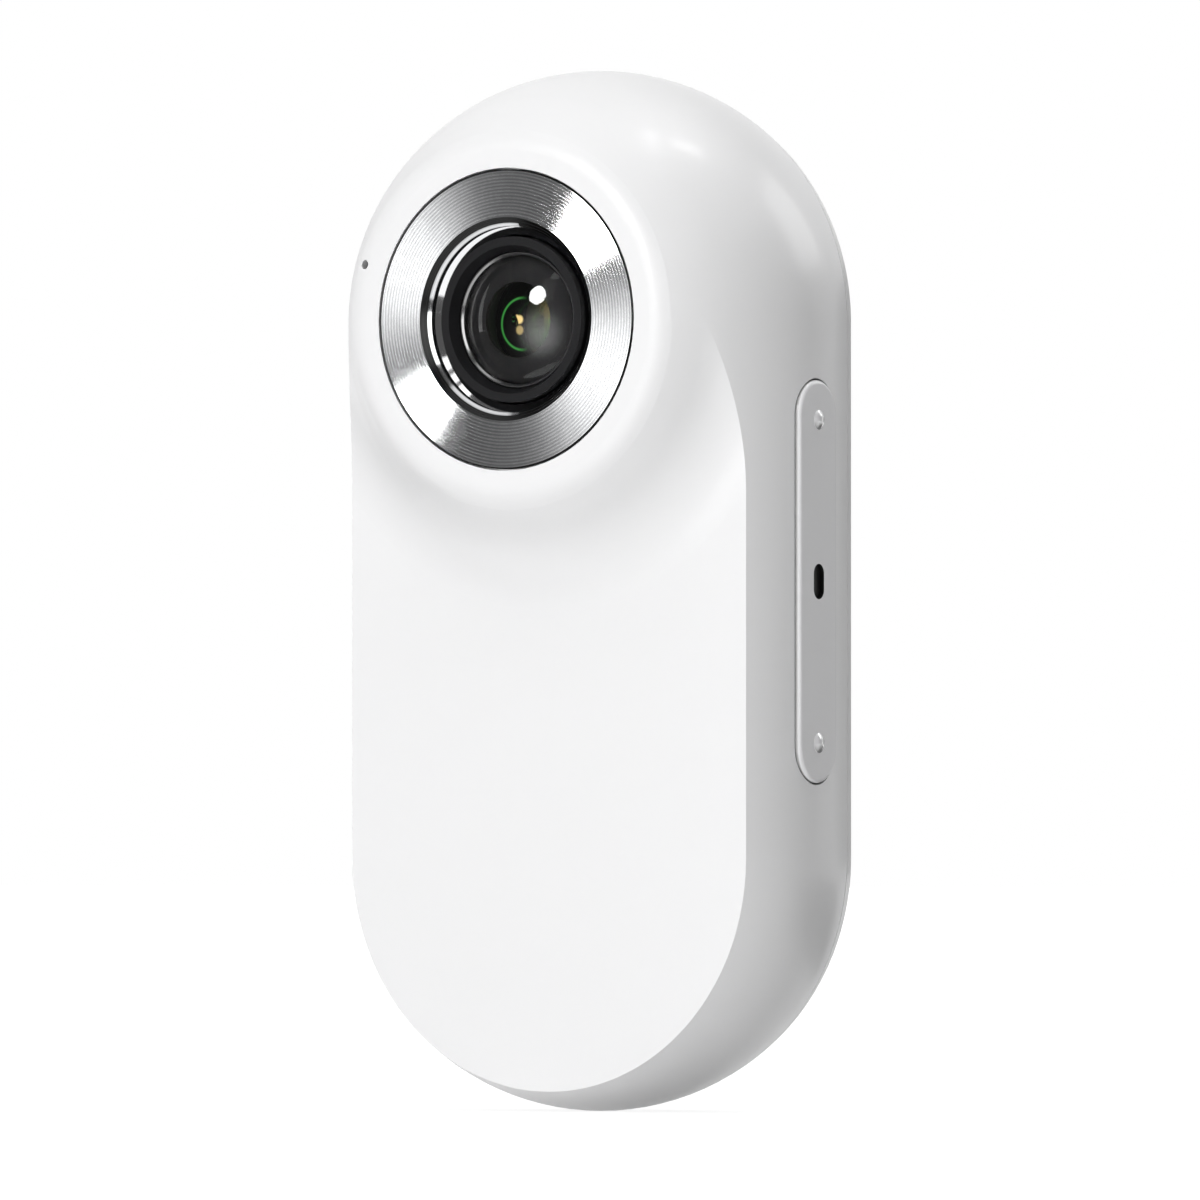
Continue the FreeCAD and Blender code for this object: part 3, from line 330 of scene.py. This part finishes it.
def spunRing():
    # a closed section turned about the lens axis: its rows step across the face, groove by groove,
    # then over the bevel, down the bore, along the back and up the outer edge
    tree = Growth("spunRing", {
        "Outer Radius": ring["outer"],
        "Face Inner Radius": ring["faceInner"],
        "Bore Radius": ring["bore"],
        "Bevel Depth": ring["bevelDepth"],
        "Edge Chamfer": ring["edgeChamfer"],
        "Thickness": ring["thickness"],
        "Grooves": ring["grooves"],
        "Groove Depth": ring["grooveDepth"],
        "Points Per Groove": ring["groovePoints"],
        "Steps Around": ring["around"],
    })
    size = tree.given
    faceOuter = size["Outer Radius"] - size["Edge Chamfer"]
    corners = [
        (size["Bore Radius"], size["Bevel Depth"]),
        (size["Bore Radius"], size["Thickness"]),
        (size["Outer Radius"], size["Thickness"]),
        (size["Outer Radius"], size["Edge Chamfer"]),
        (faceOuter, 0.0),
    ]
    acrossFace = size["Grooves"] * size["Points Per Groove"]
    around = size["Steps Around"] + 1
    rows = acrossFace + 1 + len(corners)
    sheet = tree.add("GeometryNodeMeshGrid", {}, {"Vertices X": rows, "Vertices Y": around})
    index = tree.add("GeometryNodeInputIndex")
    row = (index / around + 0.0001).floor()  # a little over, so that a whole number isn't floored away
    turn = (index - row * around) * (2 * pi) / size["Steps Around"]
    share = row / acrossFace
    corner = (row - acrossFace).atLeast(0)
    onFace = (1 - corner).atLeast(0)
    radius = (faceOuter - share * (faceOuter - size["Face Inner Radius"])) * onFace
    depth = (1 - (share * size["Grooves"] * (2 * pi)).cosine()) * 0.5 * size["Groove Depth"] * onFace
    for number, (cornerRadius, cornerDepth) in enumerate(corners, start=1):
        here = (1 - (corner - number).size()).atLeast(0)
        radius = radius + here * cornerRadius
        depth = depth + here * cornerDepth
    place = tree.add("ShaderNodeCombineXYZ", {}, {
        "X": turn.sine() * radius + lensAxis.x, "Y": depth + ring["front"],
        "Z": turn.cosine() * radius + lensAxis.z})
    bent = tree.add("GeometryNodeSetPosition", {}, {"Geometry": sheet, "Position": place})
    closed = tree.add("GeometryNodeMergeByDistance", {}, {"Geometry": bent, "Distance": ring["weldGap"]})
    smooth = tree.add("GeometryNodeSetShadeSmooth", {"domain": "FACE"}, {
        "Geometry": closed, "Shade Smooth": True})
    edgeAngle = tree.add("GeometryNodeInputMeshEdgeAngle", output="Unsigned Angle")
    crisp = tree.add("GeometryNodeSetShadeSmooth", {"domain": "EDGE"}, {
        "Geometry": smooth, "Selection": edgeAngle > ring["crispAngle"], "Shade Smooth": False})
    return tree.grow(crisp, spunSteel())


ringPiece = spunRing()
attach(ringPiece, "housing")
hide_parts("lens_trim_ring")
print("ring:", len(ringPiece.data.polygons), "faces")


# Bezel, barrel and what holds the front glass

chrome = {"base": colour(0.80, 0.80, 0.81), "metal": 1.0, "smoothest": 0.05, "spread": 0.06, "grain": 0.0006}
barrelBlack = {
    "base": colour(0.008, 0.008, 0.009), "smoothest": 0.4, "spread": 0.12, "grain": 0.0003, "specular": 0.15}
stopGrey = {
    "base": colour(0.020, 0.020, 0.021), "smoothest": 0.6, "spread": 0.15, "grain": 0.0002, "specular": 0.2}
retainer = {
    "black": barrelBlack["base"],
    "roughness": 0.4,
    "spread": 0.1,
    "grain": 0.0003,
    "edgeRadius": 0.00458,  # its chamfer ends here; on the left side the chamfer is painted bright, a painted highlight
    "chamferGlint": colour(0.32),
    "edgePolish": 0.25,
    "brightFrom": 0.0012,  # the painted highlight on the chamfer shows on the left side, from here and over this distance
    "brightFade": 0.0012,
}


def retainerBlack():
    material, tree, shader = finish("retainerBlack", retainer["black"], retainer["roughness"])
    # painted highlight: the chamfer is bright metal on the left side only
    left = ((lensAxis.x - retainer["brightFrom"] - tree.axis("X")) / retainer["brightFade"]).share()
    bright = (tree.distance(lensAxis, "Y") < retainer["edgeRadius"]) * left
    roughness = tree.noise(retainer["grain"]) * retainer["spread"] + retainer["roughness"]
    feed(tree, shader, Base_Color=tree.between(bright, retainer["black"], retainer["chamferGlint"]),
         Metallic=bright, Roughness=roughness - bright * retainer["edgePolish"])
    return material


dress(grained("chrome", chrome), "lens_bezel")
dress(grained("barrelBlack", barrelBlack), "lens_barrel", "rear_lens_spacer", "lens_holder")
dress(retainerBlack(), "lens_retainer")
dress(grained("stopGrey", stopGrey), "front_lens_spacer")


# Glasses, infrared filter and sensor

glass = {
    "clear": colour(0.98),
    "index": 1.52,
    "domeRadius": 0.0095,
    "domeDepth": 0.00084,
    "domeSkin": 0.00006,
    "domeTint": colour(0.03),
    "coatRoughness": 0.02,
    "coatIndex": 1.42,
    "green": colour(0.10, 1.0, 0.14),
    # the rear glass's golden tint, and the colour of the painted golden spots
    "gold": colour(1.0, 0.74, 0.30),
    # the painted green arc's colour
    "paintedArcColour": colour(0.05, 0.32, 0.06),
    "arcCentre": Vector((-0.0011, 0, -0.0002)),  # from the lens axis, as the spots' centres are
    "arcRadius": 0.00172,
    "arcWidth": 0.00012,
    "arcEnd": 0.0004,  # the arc runs out to the right of its centre, over this fade
    "arcFade": 0.0008,
    "spots": [  # painted golden reflections: centre, radius and brightness
        (Vector((-0.0013, 0, 0.00009)), 0.00034, 1.0),
        (Vector((-0.0013, 0, -0.00061)), 0.00036, 0.45),
    ],
    "spotEdge": 2.5,
    "glowDepth": 0.0050,  # the painted reflections glow only on the middle glass's front face, which lies before this
}


def lensGlass(name, tint, **constant):
    return finish(name, glass["clear"], roughness=0.0, Transmission_Weight=1.0, IOR=glass["index"],
                  Specular_Tint=tint, **constant)


def domeGlass():
    # the front glass is coated inside, so that only its dome's outer face shines
    material, tree, shader = lensGlass("domeGlass", glass["domeTint"], Coat_Roughness=glass["coatRoughness"],
                                       Coat_IOR=glass["coatIndex"])
    centre = Vector((lensAxis.x, ring["front"] + glass["domeDepth"] + glass["domeRadius"], lensAxis.z))
    fromCentre = tree.vector("DISTANCE", tree.place(), centre, "Value")
    feed(tree, shader, Coat_Weight=fromCentre > glass["domeRadius"] - glass["domeSkin"])
    return material


def middleGlass():
    # painted reflections, glowing on the glass: what the inner glasses throw back of the light, a green arc
    # and two golden spots inside it
    material, tree, shader = lensGlass("middleGlass", glass["green"], Emission_Strength=1.0)
    arcCentre = lensAxis + glass["arcCentre"]
    offArc = (tree.distance(arcCentre, "Y") - glass["arcRadius"]).size() / glass["arcWidth"]
    ended = ((arcCentre.x + glass["arcEnd"] - tree.axis("X")) / glass["arcFade"]).share()
    paintedGlint = tree.between((1 - offArc).atLeast(0) * ended, colour(0), glass["paintedArcColour"])
    for centre, radius, brightness in glass["spots"]:
        spot = (1 - tree.distance(lensAxis + centre, "Y") / radius).atLeast(0)
        paintedGlint = tree.between((spot * glass["spotEdge"]).atMost(1) * brightness, paintedGlint, glass["gold"])
    front = tree.axis("Y") < ring["front"] + glass["glowDepth"]
    feed(tree, shader, Emission_Color=tree.between(front, colour(0), paintedGlint))
    return material


rearGlass = lensGlass("rearGlass", glass["gold"])[0]
filterGlass = finish("filterGlass", colour(0.35, 0.62, 0.66), roughness=0.02, Transmission_Weight=0.8,
                     IOR=1.5)[0]
sensorFace = finish("sensorFace", colour(0.05, 0.04, 0.08), roughness=0.15)[0]
dress(domeGlass(), "front_lens")
dress(middleGlass(), "middle_lens")
dress(rearGlass, "rear_lens")
dress(filterGlass, "infrared_filter")
dress(sensorFace, "image_sensor")
print("lens dressed")


# Rocker, its window, and what lies behind it

rockerLow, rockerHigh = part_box("rocker_button")
windowLow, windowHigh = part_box("rocker_window")
rocker = {
    "grey": colour(0.82, 0.82, 0.83),
    # painted shade in the gap about the plate
    "gapShade": colour(0.42),
    "slotBlack": colour(0.008),
    "slotMargin": 0.00006,
    "roughness": 0.34,
    "handledSpread": 0.05,
    "specular": 0.4,
    "coatRoughness": 0.08,
    "coatIndex": 1.8,
    "edgeDepth": 0.00027,  # how far down the plate's side it keeps its grey; deeper, the side is painted with the gap's shade
    "edgeFade": 0.0001,
    "dotHeight": 0.00025,
    "dotRoughness": 0.12,
    "dotReach": 0.0111,  # from the plate's middle up and down to the dots
    "dotShade": colour(0.34),
    "shadeFrom": 0.0001,  # a dot is in shade from here below its middle, over the fade
    "shadeFade": 0.0004,
    "sliver": 0.00002,  # what lies nearer to the plate's face than this is the face
}


def rockerGrey():
    material, tree, shader = finish(
        "rockerGrey", rocker["grey"], rocker["roughness"], Coat_Roughness=rocker["coatRoughness"],
        Coat_IOR=rocker["coatIndex"], Specular_IOR_Level=rocker["specular"])
    face = rockerHigh.x - rocker["dotHeight"]
    across = tree.axis("X")
    # painted shade: the plate's sides down in the gap are painted darker
    outOfGapShade = ((across - face + rocker["edgeDepth"]) / rocker["edgeFade"]).share()
    dot = across > face + rocker["sliver"]
    slotHalf = (windowHigh - windowLow) / 2
    slotCentre = (windowHigh + windowLow) / 2
    withinY = (tree.axis("Y") - slotCentre.y).size() < slotHalf.y + rocker["slotMargin"]
    withinZ = (tree.axis("Z") - slotCentre.z).size() < slotHalf.z + rocker["slotMargin"]
    # the slot's walls in the plate are painted the window's black, painted shade in the recess
    inSlot = withinY * withinZ * (across < face - rocker["sliver"])
    aboveMiddle = tree.axis("Z") - (rockerLow.z + rockerHigh.z) / 2
    sign = (aboveMiddle > 0) * 2 - 1
    belowDot = sign * rocker["dotReach"] - aboveMiddle
    shaded = ((belowDot - rocker["shadeFrom"]) / rocker["shadeFade"]).share()
    plateGrey = tree.between(outOfGapShade, rocker["gapShade"], rocker["grey"])
    dotGrey = tree.between(shaded, rocker["grey"], rocker["dotShade"])
    body = tree.between(dot, plateGrey, dotGrey)
    handled = tree.noise(housing["handledSize"], detail=3) * rocker["handledSpread"]
    peel = tree.noise(housing["peelSize"], detail=1)
    feed(tree, shader, Base_Color=tree.between(inSlot, body, rocker["slotBlack"]),
         Coat_Weight=dot * (1 - housing["coat"]) + housing["coat"],
         Roughness=handled + rocker["roughness"] - dot * (rocker["roughness"] - rocker["dotRoughness"]),
         Normal=tree.bump(peel, housing["peelDepth"]))
    return material


windowBlack = finish("windowBlack", rocker["slotBlack"], roughness=0.35, Specular_IOR_Level=0.2)[0]
siliconeGrey = {"base": colour(0.35, 0.36, 0.37), "smoothest": 0.45, "spread": 0.2, "grain": 0.0003}
springSteel = {
    "base": colour(0.62), "metal": 1.0, "smoothest": 0.2, "spread": 0.2, "grain": 0.0005,
    "stretch": (1, 1, 12)}
dress(rockerGrey(), "rocker_button")
dress(windowBlack, "rocker_window")
dress(grained("siliconeGrey", siliconeGrey), "button_seal")
dress(grained("springSteel", springSteel), "upper_snap_dome", "lower_snap_dome", "button_bracket",
      "rocker_pin", "button_screws", "board_screws")
print("rocker dressed")


# Boards, chips, battery, sockets and card

board = {
    "dark": colour(0.015, 0.10, 0.055),
    "pale": colour(0.03, 0.17, 0.09),
    "green": colour(0.02, 0.13, 0.07),
    "thread": 0.0003,
    "stretch": 4,
    "smoothest": 0.3,
    "spread": 0.2,
}
chipBlack = {
    "base": colour(0.025), "smoothest": 0.4, "spread": 0.2, "grain": 0.00015, "bumpSize": 0.00015,
    "bumpDepth": 0.000004}
sheetSteel = {
    "base": colour(0.60, 0.60, 0.61), "metal": 1.0, "smoothest": 0.18, "spread": 0.2, "grain": 0.0004,
    "stretch": (8, 1, 1)}
cellFoil = {
    "base": colour(0.64, 0.65, 0.67), "metal": 1.0, "smoothest": 0.25, "spread": 0.2, "grain": 0.001,
    "bumpSize": 0.002, "bumpDepth": 0.00004}
tongueLow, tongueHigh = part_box("usb_tongue")
tongue = {
    "black": colour(0.02),
    "gold": colour(0.83, 0.60, 0.25),
    "pitch": 0.0005,
    "reach": 0.0028,
    "from": 0.0006,
    "to": 0.0040,
    "gapShare": 0.1,  # a contact is where the wave along its pitch stands above this
    "smoothest": 0.35,
    "spread": 0.1,
    "grain": 0.0002,
    "goldPolish": 0.15,
}


def boardGreen():
    material, tree, shader = finish("boardGreen", board["green"], board["smoothest"])
    warp = tree.noise(board["thread"], detail=1, stretch=(board["stretch"], 1, 1))
    weft = tree.noise(board["thread"], detail=1, stretch=(1, 1, board["stretch"]))
    weave = warp * 0.5 + weft * 0.5
    feed(tree, shader, Base_Color=tree.between(weave, board["dark"], board["pale"]),
         Roughness=weave * board["spread"] + board["smoothest"])
    return material


def tongueBlack():
    # gold contacts run along the charging port's tongue, on both its faces
    material, tree, shader = finish("tongueBlack", tongue["black"], tongue["smoothest"])
    sideways = tree.axis("Z") - (tongueLow.z + tongueHigh.z) / 2
    inward = tree.axis("X") - tongueLow.x
    stripe = (sideways * (2 * pi / tongue["pitch"])).cosine() > tongue["gapShare"]
    contact = stripe * (sideways.size() < tongue["reach"])
    contact = contact * (inward > tongue["from"]) * (inward < tongue["to"])
    roughness = tree.noise(tongue["grain"]) * tongue["spread"] + tongue["smoothest"]
    feed(tree, shader, Base_Color=tree.between(contact, tongue["black"], tongue["gold"]), Metallic=contact,
         Roughness=roughness - contact * tongue["goldPolish"])
    return material


amberFilm = finish("amberFilm", colour(0.42, 0.20, 0.04), roughness=0.3)[0]
paleResin = finish("paleResin", colour(0.75, 0.72, 0.45), roughness=0.35)[0]
dress(boardGreen(), "main_board", "sensor_board", "battery_board", "button_board")
dress(grained("chipBlack", chipBlack), "processor", "memory_chip", "board_connector", "battery_socket",
      "memory_card")
dress(grained("sheetSteel", sheetSteel), "radio_shield", "usb_socket", "card_socket", "microphone")
dress(grained("cellFoil", cellFoil), "battery")
dress(amberFilm, "battery_strap", "microphone_strap")
dress(tongueBlack(), "usb_tongue")
dress(paleResin, "antenna", "status_light")
print("inside dressed")


# Camera: a long lens, a little below the level of the middle, at the object's front right

view = {
    "azimuth": 32.3,
    "elevation": -0.8,
    "lens": 500.0,
    "sensor": 36.0,
    "frameWidth": 0.0825,
    "aim": Vector((0.00427, -0.0145, -0.00075)),
    "clipNear": 0.1,  # as shares of the distance to the aim
    "clipFar": 20,
}


def outward(azimuth, elevation):
    # a direction: azimuth to the right of the front, elevation above level, in degrees
    side, up = radians(azimuth), radians(elevation)
    return Vector((sin(side) * cos(up), -cos(side) * cos(up), sin(up)))


def addCamera():
    data = bpy.data.cameras.new("camera")
    data.lens = view["lens"]
    data.sensor_width = view["sensor"]
    camera = bpy.data.objects.new("camera", data)
    bpy.context.scene.collection.objects.link(camera)
    bpy.context.scene.camera = camera
    towards = outward(view["azimuth"], view["elevation"])
    reach = view["frameWidth"] * view["lens"] / view["sensor"]
    camera.location = view["aim"] + towards * reach
    camera.rotation_mode = "QUATERNION"
    camera.rotation_quaternion = (-towards).to_track_quat("-Z", "Y")
    data.clip_start = reach * view["clipNear"]
    data.clip_end = reach * view["clipFar"]


addCamera()
print("camera placed")


# Floor, world and lamps

studio = {
    "floorSize": 8.0,
    "floorPale": colour(0.62),
    "floorRoughness": 0.9,
    "floorShown": 0.6,  # near the part, this share of the floor is plain white to the eye
    "floorFar": 0.35,  # from here on all of it is
    "floorWhite": 1.45,
    "skyMean": 0.20,
    "skySlope": 0.20,
    "skyFrom": Vector((-0.30, -0.60, 0.74)).normalized(),
}
lamps = {
    # azimuth, elevation and distance from the lens, the lamp's width, and the light it adds at the lens
    "frontLamp": (1.0, -1.8, 0.8, 0.06, 0.535),
    "topLamp": (-25.0, 70.0, 0.8, 0.5, 0.21),
    "sideLamp": (75.0, 40.0, 0.17, 0.06, 0.105),
    "backLamp": (170.0, 60.0, 0.8, 0.4, 0.33),
}


def seenDirectly(tree):
    # 1 for what the camera sees itself, in metal or through glass
    seen, mirrored, through = [tree.add("ShaderNodeLightPath", output=name) for name in (
        "Is Camera Ray", "Is Glossy Ray", "Is Transmission Ray")]
    return tree.add("ShaderNodeClamp", {}, {0: seen + mirrored + through})


def addFloor():
    half = studio["floorSize"] / 2
    corners = [(x, y, cadLow.z) for x, y in ((-half, -half), (half, -half), (half, half), (-half, half))]
    mesh = bpy.data.meshes.new("floor")
    mesh.from_pydata(corners, [], [(0, 1, 2, 3)])
    floor = bpy.data.objects.new("floor", mesh)
    bpy.context.scene.collection.objects.link(floor)
    material, tree, shader = finish("floorPaint", studio["floorPale"], studio["floorRoughness"])
    white = tree.add("ShaderNodeEmission", {}, {"Color": colour(1), "Strength": studio["floorWhite"]})
    far = (tree.distance(Vector((0, 0, 0)), "Z") / studio["floorFar"]).atMost(1)
    whiteShare = far * (1 - studio["floorShown"]) + studio["floorShown"]
    shown = tree.add("ShaderNodeMixShader", {}, {
        0: seenDirectly(tree) * whiteShare, 1: Signal(tree, shader.outputs[0]), 2: white})
    tree.owner.links.new(shown.socket, tree.nodes["Material Output"].inputs["Surface"])
    mesh.materials.append(material)


def addSky():
    # brightest about one direction, and plain white to the eye
    world = bpy.data.worlds.new("world")
    bpy.context.scene.world = world
    world.use_nodes = True
    tree = Tree(world.node_tree)
    towards = tree.add("ShaderNodeTexCoord", output="Generated")
    slope = tree.vector("DOT_PRODUCT", towards, studio["skyFrom"], "Value")
    sky = slope * studio["skySlope"] + studio["skyMean"]
    level = sky + seenDirectly(tree) * (1 - sky)
    backdrop = tree.nodes["Background"]
    backdrop.inputs["Color"].default_value = colour(1)
    tree.owner.links.new(level.socket, backdrop.inputs["Strength"])


def addLamp(name, azimuth, elevation, distance, width, level):
    # a square lamp that faces the lens
    data = bpy.data.lights.new(name, "AREA")
    data.shape = "SQUARE"
    data.size = width
    data.energy = level * (pi * distance) ** 2
    lamp = bpy.data.objects.new(name, data)
    out = outward(azimuth, elevation)
    lamp.location = lensAxis + out * distance
    lamp.rotation_mode = "QUATERNION"
    lamp.rotation_quaternion = (-out).to_track_quat("-Z", "Y")
    lamp.visible_glossy = False
    lamp.visible_transmission = False
    bpy.context.scene.collection.objects.link(lamp)


addFloor()
addSky()
for name, placing in lamps.items():
    addLamp(name, *placing)
print("lamps placed")


# Cards that only gloss and glass see: a dark tent before the lens, and the bright panes in it.
# Each is placed by directions from the lens, azimuth and elevation, or lies on the floor.

cards = {
    "keyAzimuth": -11.0,
    "keyElevation": 20.5,
    "keyDistance": 0.6,
    "keySpread": 7.3,
    "keyTone": 34.0,
    "tentLeft": -66.0,
    "tentRight": 105.0,
    "tentTop": 1.2,
    "tentDistance": 0.75,
    "tentTone": 0.10,
    "glowFrom": (-7.0, -10.0),
    "glows": [(0.43, 4.2), (0.68, 0.70)],  # how far each reaches, as a chord of the unit sphere, and its tone
    "floorLift": 0.0005,
    "darkTone": 0.05,
}
panes = {
    # between two azimuths and two elevations, at a distance, and its tone
    "edgeCard": (46.0, 62.0, -9.0, 38.0, 0.6, 3.0),
    "paneNear": (22.0, 27.0, 26.0, 46.0, 0.5, 1.6),
    "paneMiddle": (14.0, 19.5, 26.0, 50.0, 0.5, 1.6),
    "paneFar": (-2.0, 11.0, 34.0, 60.0, 0.5, 1.6),
    "ceilingCard": (110.0, 160.0, 70.0, 75.0, 0.7, 9.5),
    "ceilingSide": (136.0, 150.0, 57.0, 67.0, 0.7, 9.5),
    "dotCard": (140.0, 162.0, 14.0, 36.0, 0.5, 4.2),
    "rightDark": (104.0, 146.0, -30.0, 30.0, 0.7, cards["darkTone"]),
    "backDark": (168.0, 214.0, -30.0, 6.0, 0.7, cards["darkTone"]),
}
floorDark = [  # azimuth and distance of its corners, from below the lens
    (-150, 0.05), (-100, 0.7), (-60, 0.74), (-33, 0.74), (0, 0.74), (30, 0.74), (60, 0.74), (100, 0.74),
    (100, 0.05), (62, 0.05), (58, 0.18), (36, 0.22), (27, 0.20), (20, 0.11), (0, 0.075), (-30, 0.062),
    (-60, 0.062), (-80, 0.068), (-95, 0.04)]
dotDark = [(130, 0.05), (130, 0.20), (149, 0.21), (168, 0.20), (168, 0.05)]


def tentTone(tree):
    # dark, but for a soft glow about one direction from the lens
    ray = tree.vector("NORMALIZE", tree.vector("SUBTRACT", tree.place(), lensAxis))
    apart = tree.vector("DISTANCE", ray, outward(*cards["glowFrom"]), "Value")
    tone = cards["tentTone"]
    for reach, brightness in cards["glows"]:
        near = (1 - apart / reach).atLeast(0)
        tone = near * near * (3 - near * 2) * brightness + tone
    return tone


def card(name, corners, faces, tone=None):
    # a card of one tone, or of the tent's
    mesh = bpy.data.meshes.new(name)
    mesh.from_pydata(corners, [], faces)
    item = bpy.data.objects.new(name, mesh)
    bpy.context.scene.collection.objects.link(item)
    paper, tree, shader = finish(name + "Paper", colour(0), roughness=1.0)
    glow = tree.add("ShaderNodeEmission", {}, {"Color": colour(1), "Strength": tone or tentTone(tree)})
    tree.owner.links.new(glow.socket, tree.nodes["Material Output"].inputs["Surface"])
    mesh.materials.append(paper)
    item.visible_camera = False
    item.visible_diffuse = False
    item.visible_shadow = False


def pane(name, left, right, low, high, distance, tone):
    corners = [(left, low), (right, low), (right, high), (left, high)]
    card(name, [lensAxis + outward(*corner) * distance for corner in corners], [(0, 1, 2, 3)], tone)


def tent(steps=24):
    # an upright curved card about the lens, from the floor up
    turns = [cards["tentLeft"] + (cards["tentRight"] - cards["tentLeft"]) * step / steps
             for step in range(steps + 1)]
    places = [lensAxis + outward(turn, 0) * cards["tentDistance"] for turn in turns]
    rows = [Vector((place.x, place.y, height)) for height in (cadLow.z, cards["tentTop"]) for place in places]
    faces = [(step, step + 1, steps + 2 + step, steps + 1 + step) for step in range(steps)]
    card("tent", rows, faces)


def keyCard(steps=48):
    # the round card that the dome's highlight shows
    out = outward(cards["keyAzimuth"], cards["keyElevation"])
    centre = lensAxis + out * cards["keyDistance"]
    radius = cards["keyDistance"] * sin(radians(cards["keySpread"]))
    turn = (-out).to_track_quat("-Z", "Y")
    angles = [2 * pi * step / steps for step in range(steps)]
    rim = [centre + turn @ Vector((cos(angle), sin(angle), 0)) * radius for angle in angles]
    card("keyCard", rim, [tuple(range(steps))], cards["keyTone"])


def floorCard(name, points, tone=None):
    corners = [lensAxis + outward(azimuth, 0) * distance for azimuth, distance in points]
    for corner in corners:
        corner.z = cadLow.z + cards["floorLift"]
    card(name, corners, [tuple(range(len(corners)))], tone)


keyCard()
tent()
floorCard("floorDark", floorDark)
floorCard("dotDark", dotDark, cards["darkTone"])
for name, placing in panes.items():
    pane(name, *placing)
print("cards placed")

bpy.context.scene.view_settings.view_transform = "Standard"
